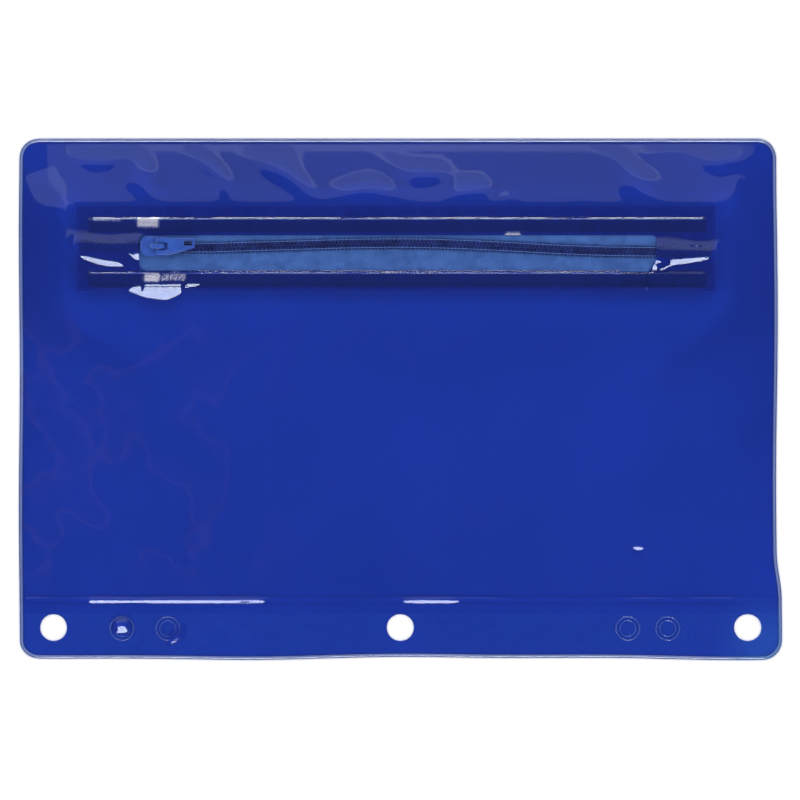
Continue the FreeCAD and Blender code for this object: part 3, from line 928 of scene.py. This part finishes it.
def make_rim():
    """The bead that the edge weld squeezes up, all round. Its pale colour is painted reflection, standing in
    for the light that the bead's edge catches.
    """
    line = rim_path(RIM_INSET)
    points = np.zeros((len(line), 3))
    points[:, :2] = line
    rim = curve_piece("edge_weld_bead", points, RIM_RADIUS, cyclic=True, sides=3)
    co = points_of(rim)
    co[:, 2] = co[:, 2] * 0.75 + VINYL * 1.25
    set_points(rim, co)
    paint(rim, PAINTED_REFLECTION_RIM)
    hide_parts("front_sheet")
    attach(rim, "pouch")


RING_PLACES = [-86.6 * MM, -72.3 * MM, 70.8 * MM, 83.2 * MM]
RING_Y = -71.4 * MM
RING_SIZES = [(3.65 * MM, 0.22 * MM), (2.45 * MM, 0.15 * MM)]


def make_die_rings():
    """Round marks that the welding die leaves in the margin: an outer and an inner ring each."""
    rings = []
    for x in RING_PLACES:
        for radius, wire in RING_SIZES:
            deselect()
            bpy.ops.mesh.primitive_torus_add(major_radius=radius, minor_radius=wire, major_segments=48,
                                             minor_segments=8, location=(x, RING_Y, VINYL * 2))
            ring = bpy.context.object
            ring.scale = (1, 1, 0.7)
            rings.append(ring)
    deselect()
    for ring in rings:
        ring.select_set(True)
    bpy.context.view_layer.objects.active = rings[0]
    bpy.ops.object.join()
    piece = settle(bpy.context.object, "die_rings")
    smooth_shade(piece, 60)
    paint(piece, RING_VINYL)
    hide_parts("front_sheet")
    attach(piece, "pouch")


make_rim()
make_die_rings()
for hem in ("upper_tape_hem", "lower_tape_hem"):
    hem_object = bpy.data.objects[hem]
    for slot in hem_object.material_slots:
        slot.material = HEM_TAPE

# ---------------------------------------------------------------- the lips: tape, coil, cord and thread
# Each lip is in two halves, from a slot's end, where it is held, to the middle, where it opens widest.
SIDES = {"upper": 1, "lower": -1}
SLIDE_TRAVEL = JOINTS["slider_slide"]["range_m"][1]
HALVES = {"left": SLOT_LEFT, "right": SLIDER_LOW.x + SLIDE_TRAVEL - MM}      # where each half starts to turn
COIL_OUTER = 1.95 * MM                  # from the chain's centreline to the coil's outer face
COIL_INNER = 0.42 * MM                  # how far its heads reach past the centreline
WIRE = 0.27 * MM
CORD_ASIDE = 0.80 * MM                  # from the chain's centreline to each filler cord's
CORD_RADIUS = 0.33 * MM
STITCH_ASIDE = 1.30 * MM                # and to each row of stitching
STITCH_RADIUS = 0.10 * MM
COIL_FOOT = COIL_LOW.z
COIL_HEAD = COIL_HIGH.z


def blend_lip(piece):
    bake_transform(piece)


def turn_count(x):
    """Whole turns of the coil from the slot's left end to x."""
    return round((x - CHAIN_X0) / PITCH)


def chain_span(half):
    """The first and last turn of the chain's half: from under the film at its end to the middle."""
    if half == "left":
        return turn_count(LEFT_END_LOW.x) + 1, turn_count(CHAIN_MIDDLE)
    return turn_count(CHAIN_MIDDLE), turn_count(RIGHT_END_HIGH.x) - 1


def make_lip_tape(side, half):
    sign = SIDES[side]
    low, high = (SLOT_LEFT, CHAIN_MIDDLE) if half == "left" else (CHAIN_MIDDLE, SLOT_RIGHT)
    xs = np.linspace(low, high, 60)
    across_places = np.linspace(0, 1, 9)
    tape = grid_piece(xs, across_places)
    co = points_of(tape)
    x, t = co[:, 0].copy(), co[:, 1].copy()
    edge = SLOT_TOP if sign > 0 else SLOT_BOTTOM
    inner = chain_y(x) + sign * 0.12 * MM
    co[:, 1] = edge + (inner - edge) * t
    crown = 0.12 * MM * np.sin(np.pi * t) * (1 + 0.5 * np.sin(x * 210 + sign))
    co[:, 2] = TAPE_TOP_Z - TAPE_THICK + crown
    set_points(tape, co)
    if sign > 0:
        activate(tape)
        bpy.ops.object.mode_set(mode="EDIT")
        bpy.ops.mesh.select_all(action="SELECT")
        bpy.ops.mesh.flip_normals()
        bpy.ops.object.mode_set(mode="OBJECT")
    modify(tape, "SOLIDIFY", thickness=TAPE_THICK, offset=1.0, use_even_offset=False)
    settle(tape, f"{side}_lip_tape_{half}")
    smooth_shade(tape, 50)
    paint(tape, TAPE)
    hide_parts(f"{side}_tape_lip")
    blend_lip(tape)


def make_coil(side, half):
    sign = SIDES[side]
    first, last = chain_span(half)
    steps = 10
    angle = np.arange((last - first) * steps + 1) / steps * 2 * math.pi
    start = CHAIN_X0 + PITCH * (first + (0.5 if sign > 0 else 0))
    x = start + angle / (2 * math.pi) * PITCH
    middle = (COIL_OUTER - COIL_INNER) / 2
    reach = (COIL_OUTER + COIL_INNER) / 2 - WIRE
    rise = (COIL_HEAD - COIL_FOOT) / 2 - WIRE
    cos, sin = np.cos(angle), np.sin(angle)
    out = middle + reach * np.sign(cos) * np.abs(cos) ** 0.75
    up = rise * np.sign(sin) * np.abs(sin) ** 0.75
    points = np.stack([x, chain_y(x) + sign * out, (COIL_HEAD + COIL_FOOT) / 2 + up], axis=1)
    coil = curve_piece(f"{side}_coil_{half}", points, WIRE, sides=1)
    paint(coil, NYLON)
    end_node = "left_chain_end" if half == "left" else "right_chain_end"
    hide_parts(f"{side}_coil", end_node)
    blend_lip(coil)


def make_cord(side, half):
    sign = SIDES[side]
    first, last = chain_span(half)
    x = CHAIN_X0 + PITCH * np.linspace(first, last, 60)
    depth = np.full_like(x, (COIL_HEAD + COIL_FOOT) / 2)
    points = np.stack([x, chain_y(x) + sign * CORD_ASIDE, depth], axis=1)
    cord = curve_piece(f"{side}_filler_cord_{half}", points, CORD_RADIUS, sides=2)
    paint(cord, CORD)
    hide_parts(f"{side}_filler_cord")
    blend_lip(cord)


def make_stitching(side, half):
    """Lockstitch over the coil: the thread dips between turns."""
    sign = SIDES[side]
    low, high = (SLOT_LEFT, CHAIN_MIDDLE) if half == "left" else (CHAIN_MIDDLE, SLOT_RIGHT)
    x = np.linspace(low, high, int((high - low) / PITCH * 4) + 1)
    phase = (x - CHAIN_X0) / PITCH * 2 * math.pi
    dip = 0.14 * MM * np.cos(phase)
    shift = 0.06 * MM * np.sin(phase)
    y = chain_y(x) + sign * (STITCH_ASIDE + shift)
    points = np.stack([x, y, COIL_HEAD - 0.07 * MM + dip], axis=1)
    thread = curve_piece(f"{side}_stitching_{half}", points, STITCH_RADIUS, sides=1)
    paint(thread, THREAD)
    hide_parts(f"{side}_stitching")
    blend_lip(thread)


for lip_side in SIDES:
    for lip_half in HALVES:
        make_lip_tape(lip_side, lip_half)
        make_coil(lip_side, lip_half)
        make_cord(lip_side, lip_half)
        make_stitching(lip_side, lip_half)


# ---------------------------------------------------------------- the slider and its pull
def softened(node_name, piece_name, edge, body):
    """The designed part with its sharp edges rounded, as a casting's are."""
    deselect()
    source = bpy.data.objects[node_name]
    piece = bpy.data.objects.new(piece_name, source.data.copy())
    bpy.context.scene.collection.objects.link(piece)
    outward(piece)
    activate(piece)
    bpy.ops.object.mode_set(mode="EDIT")
    bpy.ops.mesh.select_all(action="SELECT")
    bpy.ops.mesh.dissolve_limited(angle_limit=math.radians(1))
    bpy.ops.object.mode_set(mode="OBJECT")
    modify(piece, "BEVEL", width=edge, segments=3, limit_method="ANGLE", angle_limit=math.radians(35))
    smooth_shade(piece, 40)
    settle(piece, piece_name)
    paint(piece, ENAMEL)
    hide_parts(node_name)
    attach(piece, body)
    return piece


softened("slider_body", "slider_casting", 0.20 * MM, "slider")
softened("slider_crown", "slider_bridge", 0.18 * MM, "slider")
softened("pull_tab", "pull_tab_plate", 0.16 * MM, "tab")
